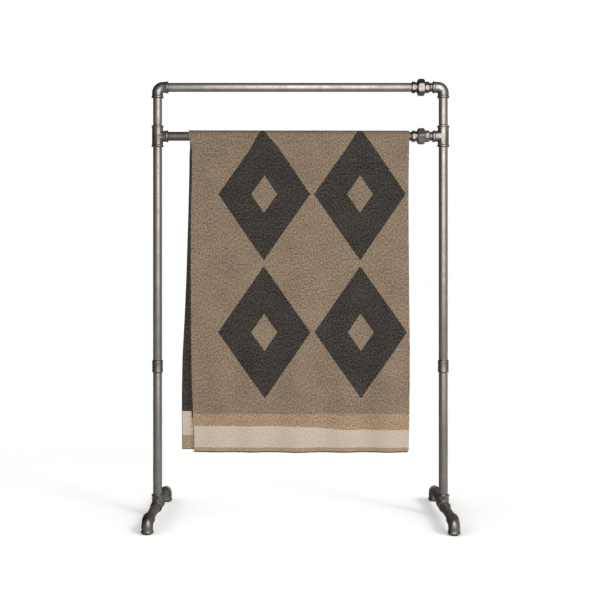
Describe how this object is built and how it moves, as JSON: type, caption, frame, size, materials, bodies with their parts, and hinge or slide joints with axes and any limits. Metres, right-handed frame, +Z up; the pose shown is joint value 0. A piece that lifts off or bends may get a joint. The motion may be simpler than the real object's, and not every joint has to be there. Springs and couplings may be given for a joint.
{
  "type": "wool blanket on pipe garment rack",
  "caption": "Woven wool blanket, folded in half along its length and hung over the lower rail of a screwed iron pipe garment rack on elbow feet.",
  "frame": {"origin": "on the floor, under the middle of the rack", "axes": "+Z up, +X along the rails to the right of someone who faces the blanket's front, +Y to the back"},
  "size_m": [0.893, 0.46, 1.3135],
  "materials": {
    "wool": "fine milled wool, matt with a soft nap",
    "iron": "bare grey iron, lightly waxed",
    "pad": "matt"
  },
  "bodies": {
    "root": {"blanket": "wool", "left_post_lower": "iron", "left_coupling": "iron", "left_post_upper": "iron", "left_rail_tee": "iron", "left_post_top": "iron", "left_elbow": "iron", "left_foot_tee": "iron", "left_foot_nipple_front": "iron", "left_foot_nipple_back": "iron", "left_foot_elbow_front": "iron", "left_foot_elbow_back": "iron", "left_foot_pad_front": "pad", "left_foot_pad_back": "pad", "right_post_lower": "iron", "right_coupling": "iron", "right_post_upper": "iron", "right_rail_tee": "iron", "right_post_top": "iron", "right_elbow": "iron", "right_foot_tee": "iron", "right_foot_nipple_front": "iron", "right_foot_nipple_back": "iron", "right_foot_elbow_front": "iron", "right_foot_elbow_back": "iron", "right_foot_pad_front": "pad", "right_foot_pad_back": "pad", "top_pipe": "iron", "top_union_body": "iron", "top_union_nut": "iron", "top_union_tail": "iron", "top_nipple": "iron", "rail_pipe": "iron", "rail_union_body": "iron", "rail_union_nut": "iron", "rail_union_tail": "iron", "rail_nipple": "iron"}
  },
  "joints": []
}
